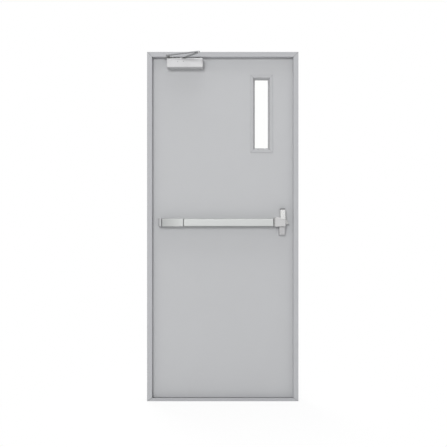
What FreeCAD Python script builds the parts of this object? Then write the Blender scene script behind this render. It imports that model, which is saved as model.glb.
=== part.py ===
import FreeCAD, Part

import math
import os

import Sketcher

# Steel fire door in its frame, seen from the push side.
# +X is to the right, +Y goes through the door away from the viewer, +Z is up.
# The origin lies on the floor, under the middle of the sill. Lengths are in millimetres.

doc = FreeCAD.newDocument("steel_fire_door")
sheet = doc.addObject("Spreadsheet::Sheet", "Sizes")

SIZES = [
    # pressed steel frame
    ("frame_width", 910.0, "outside width of the frame"),
    ("frame_height", 2100.0, "outside height of the frame, from the floor"),
    ("frame_depth", 80.0, "depth of the frame through the wall"),
    ("frame_sheet", 1.6, "steel sheet of the frame"),
    ("frame_bend", 1.5, "outside radius of the frame's bends"),
    ("face_width", 30.0, "front face of jambs and head"),
    ("stop_depth", 32.0, "front face to the back of the stop"),
    ("stop_height", 14.0, "how far the stop stands into the opening"),
    ("return_lip", 14.0, "lips that turn in along the wall"),
    ("sill_height", 8.0, "flat sill above the floor"),
    ("seal_width", 10.0, "smoke seal on the stop"),
    # leaf
    ("leaf_thickness", 45.0, "leaf through the thickness"),
    ("leaf_sheet", 1.2, "steel skins of the leaf"),
    ("leaf_bend", 1.2, "outside radius of the skins' upright bends"),
    ("leaf_gap", 4.0, "gap beside and above the leaf"),
    ("leaf_floor_gap", 6.0, "gap between the leaf and the sill"),
    ("seal_gap", 3.0, "room for the seal between stop and leaf"),
    ("channel_depth", 20.0, "flanges of the leaf's end channels"),
    # vision panel
    ("vision_edge", 133.0, "leaf's latch edge to the glazing bead"),
    ("vision_drop", 112.0, "leaf's top to the glazing bead"),
    ("bead_width", 134.0, "outside width of the glazing bead"),
    ("bead_height", 469.0, "outside height of the glazing bead"),
    ("bead_face", 16.0, "flat face of the bead"),
    ("bead_bevel", 11.0, "slope of the bead down to the glass, seen from the front"),
    ("bead_proud", 4.0, "bead in front of the leaf's face"),
    ("bead_lap", 12.0, "bead flange over the edge of the leaf's cut-out"),
    ("bead_round", 1.2, "rounded outer edge of the bead"),
    ("glass_thickness", 6.0, "fire glass"),
    ("glass_play", 0.3, "room between glass, bead and cut-out"),
    ("tape_thickness", 2.0, "glazing tape between glass and bead"),
    ("tape_inset", 0.5, "glazing tape set back from the edge of the bead"),
    # butt hinges on the far side
    ("hinge_height", 120.0, "length of a hinge"),
    ("hinge_plate", 38.0, "width of a hinge plate"),
    ("hinge_metal", 1.75, "thickness of a hinge plate"),
    ("knuckle_radius", 6.5, "outside of the knuckles"),
    ("hinge_root", 1.0, "metal between the pin and the end of a plate"),
    ("hinge_reach", 7.0, "pin behind the leaf's far face"),
    ("pin_radius", 3.5, "hinge pin"),
    ("pin_play", 0.05, "radial play of the hinge pin"),
    ("pin_end", 1.5, "chamfered ends of the hinge pin beyond the knuckles"),
    ("knuckle_play", 0.3, "play between two knuckles"),
    ("hinge_top_drop", 201.0, "frame top to the middle of the top hinge"),
    ("hinge_bottom_rise", 310.0, "floor to the middle of the bottom hinge"),
    # overhead closer
    ("closer_in", 100.0, "leaf's hinge edge to the closer body"),
    ("closer_width", 217.0, "length of the closer body"),
    ("closer_height", 57.0, "height of the closer body"),
    ("closer_depth", 60.0, "closer body in front of the leaf"),
    ("closer_drop", 12.5, "head's soffit to the top of the closer body"),
    ("closer_round", 5.0, "rounded edges of the closer body"),
    ("spindle_in", 185.0, "leaf's hinge edge to the spindle"),
    ("spindle_out", 33.0, "spindle in front of the leaf"),
    ("spindle_radius", 5.0, "spindle in the main arm"),
    ("spindle_cap", 8.0, "radius of the cap that holds the main arm"),
    ("spindle_cap_height", 4.0, "height of the cap on the main arm"),
    ("spindle_chamfer", 2.0, "chamfer of the cap"),
    ("shoe_side", 98.0, "stop of the hinge-side jamb to the shoe pivot"),
    ("shoe_out", 62.0, "shoe pivot in front of the frame's face"),
    ("shoe_flare", 15.0, "length over which the shoe widens to its plate"),
    ("shoe_inset", 1.0, "wide part of the shoe behind the frame's face"),
    ("shoe_seat", 27.0, "shoe plate under the soffit, from the frame's face"),
    ("shoe_width", 58.0, "shoe plate along the head"),
    ("arm_metal", 4.0, "thickness of the two arms"),
    ("arm_play", 0.5, "play between body, arms and shoe"),
    ("arm_width", 20.0, "width of the arms at their thick ends"),
    ("arm_tip", 15.0, "width of the arms at the elbow"),
    ("arm_pin", 4.0, "radius of the arm pins"),
    ("arm_pin_play", 0.3, "radial play at the elbow and the shoe"),
    ("pin_head", 6.0, "radius of the elbow pin's head"),
    ("pin_head_height", 2.5, "height of the elbow pin's head"),
    ("pin_chamfer", 1.0, "chamfer of the elbow pin's head"),
    # exit device
    ("bar_z", 1074.0, "middle of the push bar above the floor"),
    ("bar_height", 49.0, "height of the rail"),
    ("bar_in", 48.5, "leaf's hinge edge to the rail's end cap"),
    ("cap_length", 19.5, "end cap of the rail"),
    ("cap_back", 8.0, "end cap set back from the touch pad"),
    ("cap_slope", 8.0, "sloping outer side of the end cap, seen from the front"),
    ("cap_side", 44.0, "end cap in front of the leaf at its outer end"),
    ("cap_groove", 4.5, "groove between the end cap and the cover"),
    ("cover_length", 125.5, "fixed cover beside the touch pad"),
    ("pad_gap_left", 4.5, "gap between cover and touch pad"),
    ("pad_gap_right", 9.5, "gap between touch pad and latch case"),
    ("pad_out", 65.0, "front of the touch pad from the leaf"),
    ("pad_depth", 38.0, "depth of the touch pad"),
    ("pad_top_round", 8.0, "rounded upper edge of the touch pad"),
    ("pad_low_round", 3.0, "rounded lower edge of the touch pad"),
    ("cover_back", 4.0, "cover set back from the touch pad"),
    ("rail_depth", 42.0, "flanges of the rail from the leaf"),
    ("rail_sheet", 2.0, "wall of rail, cover and touch pad"),
    ("slide_play", 0.3, "play of the sliding pieces"),
    ("cap_round", 4.0, "rounded outer edge of the end cap"),
    ("case_edge", 59.5, "latch case to the leaf's latch edge"),
    ("case_width", 64.0, "width of the latch case"),
    ("case_depth", 64.0, "block of the latch case in front of the leaf"),
    ("case_height", 56.5, "height of the latch case"),
    ("case_rise", 3.2, "middle of the latch case above the middle of the bar"),
    ("case_round", 3.0, "rounded edges of the latch case"),
    ("case_top_round", 6.0, "rounded upper front edge of the latch case"),
    ("neck_length", 4.5, "lug of the latch case in the end of the rail"),
    ("post_width", 30.5, "width of the upper cover"),
    ("post_height", 46.0, "upper cover above the latch case"),
    ("post_depth", 56.0, "upper cover in front of the leaf, at its foot"),
    ("post_top_depth", 49.0, "upper cover in front of the leaf, at its top"),
    ("post_round", 3.0, "rounded edges of the upper cover"),
    ("plug_height", 6.5, "end plug on the upper cover"),
    ("plug_inset", 1.5, "end plug inside the outline of the upper cover"),
    ("foot_height", 47.0, "lower cover under the latch case"),
    ("foot_width", 38.0, "width of the lower cover"),
    ("foot_depth", 54.0, "lower cover in front of the leaf, at its top"),
    ("foot_low_depth", 42.0, "lower cover in front of the leaf, at its foot"),
    ("foot_round", 8.0, "rounded edges of the lower cover"),
    ("foot_gap", 3.0, "groove between latch case and lower cover"),
    ("latch_reach", 21.5, "latch beyond the case"),
    ("latch_tail", 24.0, "latch inside the case"),
    ("latch_height", 30.0, "height of the latch"),
    ("latch_thickness", 12.0, "thickness of the latch"),
    ("latch_out", 36.0, "middle of the latch in front of the leaf"),
    ("latch_rise", 6.0, "middle of the latch above the middle of the bar"),
    ("latch_root", 5.0, "latch beyond the case at its upper edge"),
    ("latch_nose", 3.0, "blunt end of the latch"),
    ("latch_room", 5.0, "room behind the latch when it is drawn back"),
]

for row, (alias, number, note) in enumerate(SIZES, start=1):
    sheet.set("A%d" % row, alias)
    sheet.set("B%d" % row, repr(number))
    sheet.set("C%d" % row, note)
    sheet.setAlias("B%d" % row, alias)
doc.recompute()


class Size:
    """A length together with the formula that ties it to the sheet."""

    def __init__(self, text, value):
        self.text = text
        self.value = float(value)

    def __add__(self, other):
        other = size(other)
        return Size("(%s + %s)" % (self.text, other.text), self.value + other.value)

    def __sub__(self, other):
        other = size(other)
        return Size("(%s - %s)" % (self.text, other.text), self.value - other.value)

    def __mul__(self, other):
        other = size(other)
        return Size("(%s * %s)" % (self.text, other.text), self.value * other.value)

    def __truediv__(self, other):
        other = size(other)
        return Size("(%s / %s)" % (self.text, other.text), self.value / other.value)

    def __neg__(self):
        return Size("(0 - %s)" % self.text, -self.value)


def size(thing):
    """A Size from a Size, an alias of the sheet or a plain number."""
    if isinstance(thing, Size):
        return thing
    if isinstance(thing, str):
        return Size("Sizes.%s" % thing, getattr(sheet, thing))
    return Size(repr(float(thing)), thing)


def bind(thing, prop, value):
    thing.setExpression(prop, size(value).text)


def new_body(label):
    body = doc.addObject("PartDesign::Body", label + "_body")
    body.Label = label
    pieces.append(body)
    return body


def place(thing, x=0, y=0, z=0):
    bind(thing, "Placement.Base.x", x)
    bind(thing, "Placement.Base.y", y)
    bind(thing, "Placement.Base.z", z)


def new_sketch(body, name, role, lift=None):
    """An empty sketch on one of the body's origin planes."""
    sketch = body.newObject("Sketcher::SketchObject", name)
    plane = [f for f in body.Origin.OriginFeatures if f.Role == role][0]
    sketch.AttachmentSupport = (plane, [""])
    sketch.MapMode = "FlatFace"
    if lift is not None:
        bind(sketch, "AttachmentOffset.Base.z", lift)
    return sketch


def tie(sketch, kind, geometry, point, value):
    """Hold one coordinate of a sketch point at a size."""
    value = size(value)
    index = sketch.addConstraint(Sketcher.Constraint(kind, geometry, point, value.value))
    bind(sketch, "Constraints[%d]" % index, value)


def draw_polygon(sketch, points):
    first = sketch.GeometryCount
    points = [(size(u), size(v)) for u, v in points]
    count = len(points)
    for i in range(count):
        start = points[i]
        end = points[(i + 1) % count]
        sketch.addGeometry(Part.LineSegment(
            FreeCAD.Vector(start[0].value, start[1].value, 0),
            FreeCAD.Vector(end[0].value, end[1].value, 0)), False)
    for i in range(count):
        sketch.addConstraint(Sketcher.Constraint(
            "Coincident", first + i, 2, first + (i + 1) % count, 1))
    for i, (u, v) in enumerate(points):
        tie(sketch, "DistanceX", first + i, 1, u)
        tie(sketch, "DistanceY", first + i, 1, v)


def draw_circle(sketch, u, v, radius):
    u, v, radius = size(u), size(v), size(radius)
    index = sketch.addGeometry(Part.Circle(
        FreeCAD.Vector(u.value, v.value, 0), FreeCAD.Vector(0, 0, 1), radius.value), False)
    tie(sketch, "DistanceX", index, 3, u)
    tie(sketch, "DistanceY", index, 3, v)
    k = sketch.addConstraint(Sketcher.Constraint("Radius", index, radius.value))
    bind(sketch, "Constraints[%d]" % k, radius)


def rectangle(u0, v0, u1, v1):
    return [(u0, v0), (u1, v0), (u1, v1), (u0, v1)]


def grow(body, kind, name, sketch, length, against=False):
    """A pad or pocket that leaves its sketch along the sketch's normal, or against it."""
    before = body.Tip.Shape.Volume if body.Tip is not None else 0
    feature = body.newObject("PartDesign::" + kind, name)
    feature.Profile = sketch
    bind(feature, "Length", length)
    feature.Reversed = against if kind == "Pad" else not against
    doc.recompute()
    if kind == "Pocket" and feature.Shape.Volume > before - 0.001:
        raise RuntimeError("%s cuts nothing" % name)
    return feature


def fillet(body, name, base, radius, test):
    """Round every edge of the base whose middle passes the test."""
    names = []
    for i, edge in enumerate(base.Shape.Edges, start=1):
        middle = edge.valueAt((edge.FirstParameter + edge.LastParameter) / 2.0)
        if test(edge, middle):
            names.append("Edge%d" % i)
    feature = body.newObject("PartDesign::Fillet", name)
    feature.Base = (base, names)
    bind(feature, "Radius", radius)
    doc.recompute()
    return feature


def near(a, b):
    return abs(a - size(b).value) < 0.01


def is_line(edge, axis):
    """True for a straight edge along one axis."""
    if edge.Curve.TypeId != "Part::GeomLine":
        return False
    return abs(getattr(edge.Curve.Direction, axis)) > 0.999


pieces = []

# Derived positions, each one a formula of the sheet.
half_width = size("frame_width") / 2
front_y = -(size("frame_depth") / 2)
back_y = size("frame_depth") / 2
rebate_face = size("face_width") - "stop_height"
leaf_half = half_width - rebate_face - "leaf_gap"
leaf_front = front_y + "stop_depth" + "seal_gap"
leaf_back = leaf_front + "leaf_thickness"
leaf_bottom = size("sill_height") + "leaf_floor_gap"
leaf_top = size("frame_height") - rebate_face - "leaf_gap"
soffit = size("frame_height") - "face_width"
hinge_x = -(half_width - rebate_face - size("leaf_gap") / 2)
hinge_y = leaf_back + "hinge_reach"
vision_x = leaf_half - "vision_edge" - size("bead_width") / 2
vision_z = leaf_top - "vision_drop" - size("bead_height") / 2


def frame_profile():
    """Folded sheet section: u from the wall into the opening, v from front to back."""
    metal = size("frame_sheet")
    face = size("face_width")
    deep = size("frame_depth")
    stop = size("stop_depth")
    lip = size("return_lip")
    outside = [(0, lip), (0, 0), (face, 0), (face, stop), (rebate_face, stop),
               (rebate_face, deep), (0, deep), (0, deep - lip)]
    inside = [(metal, deep - lip), (metal, deep - metal),
              (rebate_face - metal, deep - metal), (rebate_face - metal, stop - metal),
              (face - metal, stop - metal), (face - metal, metal), (metal, metal), (metal, lip)]
    return outside + inside


def round_bends(body, pad, axis, mirrored):
    """Bend radii along the member, on the corners that show."""
    bends = [(0, 0), ("face_width", 0), ("face_width", "stop_depth"),
             (rebate_face, "frame_depth"), (0, "frame_depth")]
    side = -1 if mirrored else 1

    def shows(edge, middle):
        if not is_line(edge, axis):
            return False
        u = middle.x if axis == "z" else -middle.z
        return any(near(u * side, b[0]) and near(middle.y, b[1]) for b in bends)

    return fillet(body, "Bends", pad, "frame_bend", shows)


def make_jamb(label, side):
    """Upright member; side is -1 on the left and 1 on the right."""
    body = new_body(label)
    sketch = new_sketch(body, label + "_profile", "XY_Plane")
    draw_polygon(sketch, [(size(u) * -side, v) for u, v in frame_profile()])
    pad = grow(body, "Pad", label + "_length", sketch, "frame_height")
    round_bends(body, pad, "z", side > 0)
    mitre = new_sketch(body, label + "_mitre", "XZ_Plane")
    over = size("face_width") + "stop_height"
    draw_polygon(mitre, [(0, "frame_height"),
                         (over * -side, size("frame_height") - over),
                         (over * -side, "frame_height")])
    grow(body, "Pocket", label + "_mitre_cut", mitre, "frame_depth", True)
    foot = new_sketch(body, label + "_foot", "XZ_Plane")
    draw_polygon(foot, [(0, 0), (size("face_width") * -side, 0),
                        (size("face_width") * -side, "sill_height")])
    grow(body, "Pocket", label + "_foot_cut", foot, "stop_depth", True)
    place(body, half_width * side, front_y, 0)
    return body


def make_head():
    """Cross member over the opening, mitred to both jambs."""
    body = new_body("frame_head")
    sketch = new_sketch(body, "head_profile", "YZ_Plane")
    draw_polygon(sketch, [(v, -size(u)) for u, v in frame_profile()])
    pad = grow(body, "Pad", "head_length", sketch, "frame_width")
    round_bends(body, pad, "x", False)
    over = size("face_width") + "stop_height"
    mitre = new_sketch(body, "head_mitre", "XZ_Plane")
    draw_polygon(mitre, [(0, 0), (over, -over), (0, -over)])
    draw_polygon(mitre, [("frame_width", 0), (size("frame_width") - over, -over),
                         ("frame_width", -over)])
    grow(body, "Pocket", "head_mitre_cut", mitre, "frame_depth", True)
    place(body, -half_width, front_y, "frame_height")
    return body


def make_sill():
    """Flat closed section under the leaf, let in between the jambs."""
    body = new_body("frame_sill")
    metal = size("frame_sheet")
    sketch = new_sketch(body, "sill_profile", "YZ_Plane")
    draw_polygon(sketch, rectangle(0, 0, "frame_depth", "sill_height"))
    draw_polygon(sketch, rectangle(metal, metal, size("frame_depth") - metal,
                                   size("sill_height") - metal))
    grow(body, "Pad", "sill_length", sketch, "frame_width")
    ends = new_sketch(body, "sill_ends", "XY_Plane")
    draw_polygon(ends, rectangle(0, "stop_depth", rebate_face, "frame_depth"))
    draw_polygon(ends, rectangle(size("frame_width") - rebate_face, "stop_depth",
                                 "frame_width", "frame_depth"))
    grow(body, "Pocket", "sill_ends_cut", ends, "sill_height")
    mitre = new_sketch(body, "sill_mitre", "XZ_Plane")
    draw_polygon(mitre, [(0, 0), ("face_width", "sill_height"), (0, "sill_height")])
    draw_polygon(mitre, [("frame_width", 0), ("frame_width", "sill_height"),
                         (size("frame_width") - "face_width", "sill_height")])
    grow(body, "Pocket", "sill_mitre_cut", mitre, "stop_depth", True)
    place(body, -half_width, front_y, 0)
    return body


make_jamb("frame_jamb_hinge_side", -1)
make_jamb("frame_jamb_latch_side", 1)
make_head()
make_sill()


def make_box(label, x, y, z, length, width, height):
    """A plain block whose corner and sides follow the sheet."""
    box = doc.addObject("Part::Box", label + "_block")
    box.Label = label
    bind(box, "Length", length)
    bind(box, "Width", width)
    bind(box, "Height", height)
    place(box, x, y, z)
    return box


def make_seal():
    """Smoke seal on the back of the stop, round the head and both jambs."""
    body = new_body("smoke_seal")
    inset = size("stop_height") - "seal_width"
    sketch = new_sketch(body, "seal_outline", "XZ_Plane")
    edge = half_width - rebate_face - inset / 2
    top = size("frame_height") - rebate_face - inset / 2
    inner = edge - "seal_width"
    low = size("sill_height")
    draw_polygon(sketch, [(-edge, low), (-inner, low), (-inner, top - "seal_width"),
                          (inner, top - "seal_width"), (inner, low), (edge, low),
                          (edge, top), (-edge, top)])
    grow(body, "Pad", "seal_body", sketch, size("seal_gap") - "slide_play", True)
    place(body, 0, front_y + "stop_depth", 0)
    return body


make_seal()


def cut_window(body, name, depth):
    """Cut-out of the leaf behind the glazing bead, in a body that starts at the leaf's corner."""
    cut_x = vision_x + leaf_half
    cut_z = vision_z - leaf_bottom
    half_w = size("bead_width") / 2 - "bead_lap"
    half_h = size("bead_height") / 2 - "bead_lap"
    window = new_sketch(body, name, "XZ_Plane")
    draw_polygon(window, rectangle(cut_x - half_w, cut_z - half_h,
                                   cut_x + half_w, cut_z + half_h))
    return grow(body, "Pocket", name + "_cut", window, depth, True)


def make_skin(label, at_back):
    """One steel skin of the leaf, folded back along both upright edges."""
    body = new_body(label)
    half = size("leaf_thickness") / 2
    metal = size("leaf_sheet")
    wide = leaf_half * 2
    face = half if at_back else size(0)
    inner = half - metal if at_back else metal
    seam = size(0) if at_back else half
    sketch = new_sketch(body, label + "_profile", "XY_Plane")
    draw_polygon(sketch, [(0, face), (wide, face), (wide, seam), (wide - metal, seam),
                          (wide - metal, inner), (metal, inner), (metal, seam), (0, seam)])
    pad = grow(body, "Pad", label + "_height", sketch, leaf_top - leaf_bottom)

    def shows(edge, middle):
        outer = near(middle.x, 0) or near(middle.x, wide)
        return is_line(edge, "z") and outer and near(middle.y, face)

    fillet(body, label + "_bends", pad, "leaf_bend", shows)
    cut_window(body, label + "_window", half)
    place(body, -leaf_half, leaf_front + half if at_back else leaf_front, leaf_bottom)
    return body


make_skin("leaf_front_skin", False)
make_skin("leaf_back_skin", True)


def make_core():
    """Mineral core between the skins and the end channels."""
    body = new_body("leaf_core")
    metal = size("leaf_sheet")
    wide = leaf_half * 2
    tall = leaf_top - leaf_bottom
    sketch = new_sketch(body, "core_outline", "XZ_Plane")
    draw_polygon(sketch, rectangle(metal, "channel_depth", wide - metal,
                                   tall - "channel_depth"))
    deep = size("leaf_thickness") - metal * 2
    grow(body, "Pad", "core_block", sketch, deep, True)
    cut_window(body, "core_window", deep)
    place(body, -leaf_half, leaf_front + metal, leaf_bottom)
    return body


make_core()


def make_channel(label, at_top):
    """Folded channel that closes the leaf's top or bottom between the skins."""
    body = new_body(label)
    metal = size("leaf_sheet")
    wide = (leaf_half - metal) * 2
    deep = size("leaf_thickness") - metal * 2
    way = -1 if at_top else 1
    sketch = new_sketch(body, label + "_profile", "YZ_Plane")
    tall = size("channel_depth")
    points = [(0, 0), (deep, 0), (deep, tall), (deep - metal, tall), (deep - metal, metal),
              (metal, metal), (metal, tall), (0, tall)]
    draw_polygon(sketch, [(u, size(v) * way) for u, v in points])
    grow(body, "Pad", label + "_length", sketch, wide)
    place(body, -leaf_half + metal, leaf_front + metal, leaf_top if at_top else leaf_bottom)
    return body


make_channel("leaf_top_channel", True)
make_channel("leaf_bottom_channel", False)


bead_reach = (size("leaf_thickness") - "glass_thickness") / 2 - "tape_thickness"


def make_bead(label, at_back):
    """Glazing bead: a flat flange over the skin and a sloping throat down to the glass."""
    body = new_body(label)
    wide = size("bead_width")
    tall = size("bead_height")
    lap = size("bead_lap")
    play = size("glass_play")
    face = size("bead_face")
    throat = face + "bead_bevel"
    reach = bead_reach
    flange = new_sketch(body, label + "_flange", "XZ_Plane")
    draw_polygon(flange, rectangle(-wide / 2, -tall / 2, wide / 2, tall / 2))
    plate = grow(body, "Pad", label + "_face", flange, "bead_proud", at_back)
    front = size("bead_proud") * (1 if at_back else -1)

    def shows(edge, middle):
        return near(middle.y, front)

    fillet(body, label + "_edge", plate, "bead_round", shows)
    collar = new_sketch(body, label + "_collar", "XZ_Plane")
    u = wide / 2 - lap - play
    v = tall / 2 - lap - play
    draw_polygon(collar, rectangle(-u, -v, u, v))
    grow(body, "Pad", label + "_neck", collar, reach, not at_back)
    away = 1 if at_back else -1
    mouth = new_sketch(body, label + "_mouth", "XZ_Plane", -(size("bead_proud") * away))
    u = wide / 2 - face
    v = tall / 2 - face
    draw_polygon(mouth, rectangle(-u, -v, u, v))
    bottom = new_sketch(body, label + "_throat", "XZ_Plane", reach * away)
    u = wide / 2 - throat
    v = tall / 2 - throat
    draw_polygon(bottom, rectangle(-u, -v, u, v))
    loft = body.newObject("PartDesign::SubtractiveLoft", label + "_slope")
    loft.Profile = mouth
    loft.Sections = [bottom]
    loft.Ruled = True
    doc.recompute()
    place(body, vision_x, leaf_back if at_back else leaf_front, vision_z)
    return body


make_bead("vision_bead_front", False)
make_bead("vision_bead_back", True)


def make_tape(label, at_back):
    """Glazing tape: a flat ring between the bead's neck and the glass."""
    body = new_body(label)
    sketch = new_sketch(body, label + "_ring", "XZ_Plane")
    for inset in (size("bead_lap") + "glass_play", size("bead_face") + "bead_bevel" - "tape_inset"):
        u = size("bead_width") / 2 - inset
        v = size("bead_height") / 2 - inset
        draw_polygon(sketch, rectangle(-u, -v, u, v))
    grow(body, "Pad", label + "_strip", sketch, "tape_thickness", True)
    deep = leaf_back - bead_reach - "tape_thickness" if at_back else leaf_front + bead_reach
    place(body, vision_x, deep, vision_z)
    return body


make_tape("glazing_tape_front", False)
make_tape("glazing_tape_back", True)

glass_wide = size("bead_width") - size("bead_lap") * 2 - size("glass_play") * 2
glass_tall = size("bead_height") - size("bead_lap") * 2 - size("glass_play") * 2
pieces.append(make_box(
    "vision_glass", vision_x - glass_wide / 2,
    leaf_front + (size("leaf_thickness") - "glass_thickness") / 2,
    vision_z - glass_tall / 2, glass_wide, "glass_thickness", glass_tall))


KNUCKLES = 3


def make_hinge_plate(label, height, on_leaf):
    """Plate and knuckles round the pin; the leaf carries every second knuckle."""
    body = new_body(label)
    side = 1 if on_leaf else -1
    knuckle = size("hinge_height") / KNUCKLES
    play = size("knuckle_play") / 2
    sketch = new_sketch(body, label + "_profile", "XY_Plane")
    inner = size("leaf_gap") / 2 - "hinge_metal"
    draw_polygon(sketch, rectangle(inner * side, -(size("hinge_plate") + "hinge_reach"),
                                   size("leaf_gap") / 2 * side,
                                   -(size("pin_radius") + "hinge_root")))
    grow(body, "Pad", label + "_plate", sketch, "hinge_height")
    barrel = new_sketch(body, label + "_barrel", "XY_Plane")
    draw_circle(barrel, 0, 0, "knuckle_radius")
    grow(body, "Pad", label + "_knuckles", barrel, "hinge_height")
    hole = new_sketch(body, label + "_hole", "XY_Plane")
    draw_circle(hole, 0, 0, size("pin_radius") + "pin_play")
    grow(body, "Pocket", label + "_bore", hole, "hinge_height")
    reach = size("knuckle_radius") + "hinge_root"
    for i in range(KNUCKLES):
        mine = (i % 2 == 1) == on_leaf
        if mine:
            continue
        low = knuckle * i - play
        slot = new_sketch(body, "%s_gap_%d" % (label, i), "XY_Plane", low)
        draw_polygon(slot, rectangle(-reach, -reach, reach, reach))
        grow(body, "Pocket", "%s_gap_cut_%d" % (label, i), slot, knuckle + play * 2)
    place(body, hinge_x, hinge_y, size(height) - size("hinge_height") / 2)
    return body


def turned(body, name, sketch):
    """A solid turned about the sketch's upright axis."""
    turn = body.newObject("PartDesign::Revolution", name)
    turn.Profile = sketch
    turn.ReferenceAxis = (sketch, ["V_Axis"])
    turn.Angle = 360
    doc.recompute()
    return turn


def make_hinge_pin(label, height):
    """Pin through the knuckles, with chamfered ends that stand out a little."""
    body = new_body(label)
    sketch = new_sketch(body, label + "_profile", "XZ_Plane")
    tall = size("hinge_height")
    radius = size("pin_radius")
    out = size("pin_end")
    tip = radius - out
    draw_polygon(sketch, [(0, -out), (tip, -out), (radius, 0), (radius, tall),
                          (tip, tall + out), (0, tall + out)])
    turned(body, label + "_turned", sketch)
    place(body, hinge_x, hinge_y, size(height) - size("hinge_height") / 2)
    return body


top_hinge = size("frame_height") - "hinge_top_drop"
bottom_hinge = size("hinge_bottom_rise")
middle_hinge = (top_hinge + bottom_hinge) / 2
for where, height in (("top", top_hinge), ("middle", middle_hinge), ("bottom", bottom_hinge)):
    make_hinge_plate("hinge_%s_frame_plate" % where, height, False)
    make_hinge_plate("hinge_%s_leaf_plate" % where, height, True)
    make_hinge_pin("hinge_%s_pin" % where, height)


# Overhead closer with its two arms. The spindle S, the shoe pivot B, the elbow E and the
# hinge pin H are the corners of a parallelogram, so E - S equals B - H at every angle.
closer_top = soffit - "closer_drop"
spindle_x = -leaf_half + "spindle_in"
spindle_y = leaf_front - "spindle_out"
shoe_x = -half_width + "face_width" + "shoe_side"
shoe_y = front_y - "shoe_out"
elbow_x = spindle_x + shoe_x - hinge_x
elbow_y = spindle_y + shoe_y - hinge_y
main_arm_low = closer_top + "arm_play"
main_arm_top = main_arm_low + "arm_metal"
fore_arm_low = main_arm_top + "arm_play"
fore_arm_top = fore_arm_low + "arm_metal"


def make_closer_body():
    """Closer cover: a block with every outer edge rounded."""
    body = new_body("closer_body")
    tall = size("closer_height")
    sketch = new_sketch(body, "closer_outline", "XZ_Plane")
    draw_polygon(sketch, rectangle(0, -tall, "closer_width", 0))
    pad = grow(body, "Pad", "closer_block", sketch, "closer_depth")

    def shows(edge, middle):
        return not near(middle.y, 0)

    fillet(body, "closer_rounding", pad, "closer_round", shows)
    place(body, -leaf_half + "closer_in", leaf_front, closer_top)
    return body


def make_arm(label, x0, y0, x1, y1, z, drive_hole, tip_hole):
    """Flat tapered arm from its driven end to the elbow, with round ends and two eyes."""
    body = new_body(label)
    dx = size(x1) - x0
    dy = size(y1) - y0
    length = math.hypot(dx.value, dy.value)
    root = "sqrt(%s ^ 2 + %s ^ 2)" % (dx.text, dy.text)
    ux = Size("(%s / %s)" % (dx.text, root), dx.value / length)
    uy = Size("(%s / %s)" % (dy.text, root), dy.value / length)
    wide = size("arm_width") / 2
    slim = size("arm_tip") / 2
    bar = new_sketch(body, label + "_bar", "XY_Plane")
    draw_polygon(bar, [(-uy * wide, ux * wide), (uy * wide, -ux * wide),
                       (dx + uy * slim, dy - ux * slim), (dx - uy * slim, dy + ux * slim)])
    grow(body, "Pad", label + "_flat", bar, "arm_metal")
    for i, (u, v, radius) in enumerate(((size(0), size(0), wide), (dx, dy, slim))):
        end = new_sketch(body, "%s_end_%d" % (label, i), "XY_Plane")
        draw_circle(end, u, v, radius)
        grow(body, "Pad", "%s_round_%d" % (label, i), end, "arm_metal")
    hole = new_sketch(body, label + "_holes", "XY_Plane")
    draw_circle(hole, 0, 0, drive_hole)
    draw_circle(hole, dx, dy, tip_hole)
    grow(body, "Pocket", label + "_eyes", hole, "arm_metal")
    place(body, x0, y0, z)
    return body


make_closer_body()
make_arm("closer_main_arm", spindle_x, spindle_y, elbow_x, elbow_y, main_arm_low,
         size("spindle_radius") + "pin_play", size("arm_pin") + "pin_play")
make_arm("closer_fore_arm", shoe_x, shoe_y, elbow_x, elbow_y, fore_arm_low,
         size("arm_pin") + "arm_pin_play", size("arm_pin") + "arm_pin_play")


def make_spindle():
    """Closer spindle with the cap that holds the main arm."""
    body = new_body("closer_spindle")
    sketch = new_sketch(body, "spindle_profile", "XZ_Plane")
    shaft = size("spindle_radius")
    cap = size("spindle_cap")
    slope = size("spindle_chamfer")
    low = -size("arm_play") / 2
    seat = size("arm_metal")
    top = seat + "spindle_cap_height"
    draw_polygon(sketch, [(0, low), (shaft, low), (shaft, seat), (cap, seat),
                          (cap, top - slope), (cap - slope, top), (0, top)])
    turned(body, "spindle_turned", sketch)
    place(body, spindle_x, spindle_y, main_arm_low)
    return body


def make_elbow_pin():
    """Pivot of the two arms, with its head under the main arm."""
    body = new_body("closer_elbow_pin")
    sketch = new_sketch(body, "elbow_profile", "XZ_Plane")
    shaft = size("arm_pin")
    head = size("pin_head")
    slope = size("pin_chamfer")
    low = -size("pin_head_height")
    top = size("arm_metal") * 2 + "arm_play"
    draw_polygon(sketch, [(0, low), (head - slope, low), (head, low + slope), (head, 0),
                          (shaft, 0), (shaft, top), (0, top)])
    turned(body, "elbow_turned", sketch)
    place(body, elbow_x, elbow_y, main_arm_low)
    return body


def make_shoe():
    """Arm shoe: plate under the soffit and a long tongue that carries the pivot."""
    body = new_body("closer_shoe")
    plate = soffit - fore_arm_top - "arm_play"
    half = size("shoe_width") / 2
    tongue = size("arm_width") / 2
    back = size("shoe_out") + "shoe_seat"
    front = size("shoe_out") + "shoe_inset"
    neck = size("shoe_out") - "shoe_flare"
    sketch = new_sketch(body, "shoe_outline", "XY_Plane")
    draw_polygon(sketch, [(-tongue, 0), (tongue, 0), (tongue, neck), (half, front), (half, back),
                          (-half, back), (-half, front), (-tongue, neck)])
    grow(body, "Pad", "shoe_plate", sketch, plate)
    end = new_sketch(body, "shoe_end", "XY_Plane")
    draw_circle(end, 0, 0, tongue)
    grow(body, "Pad", "shoe_round", end, plate)
    pin = new_sketch(body, "shoe_pin", "XY_Plane")
    draw_circle(pin, 0, 0, "arm_pin")
    grow(body, "Pad", "shoe_pivot", pin, size("arm_metal") + "arm_play", True)
    place(body, shoe_x, shoe_y, fore_arm_top + "arm_play")
    return body


make_spindle()
make_elbow_pin()
make_shoe()


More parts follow.
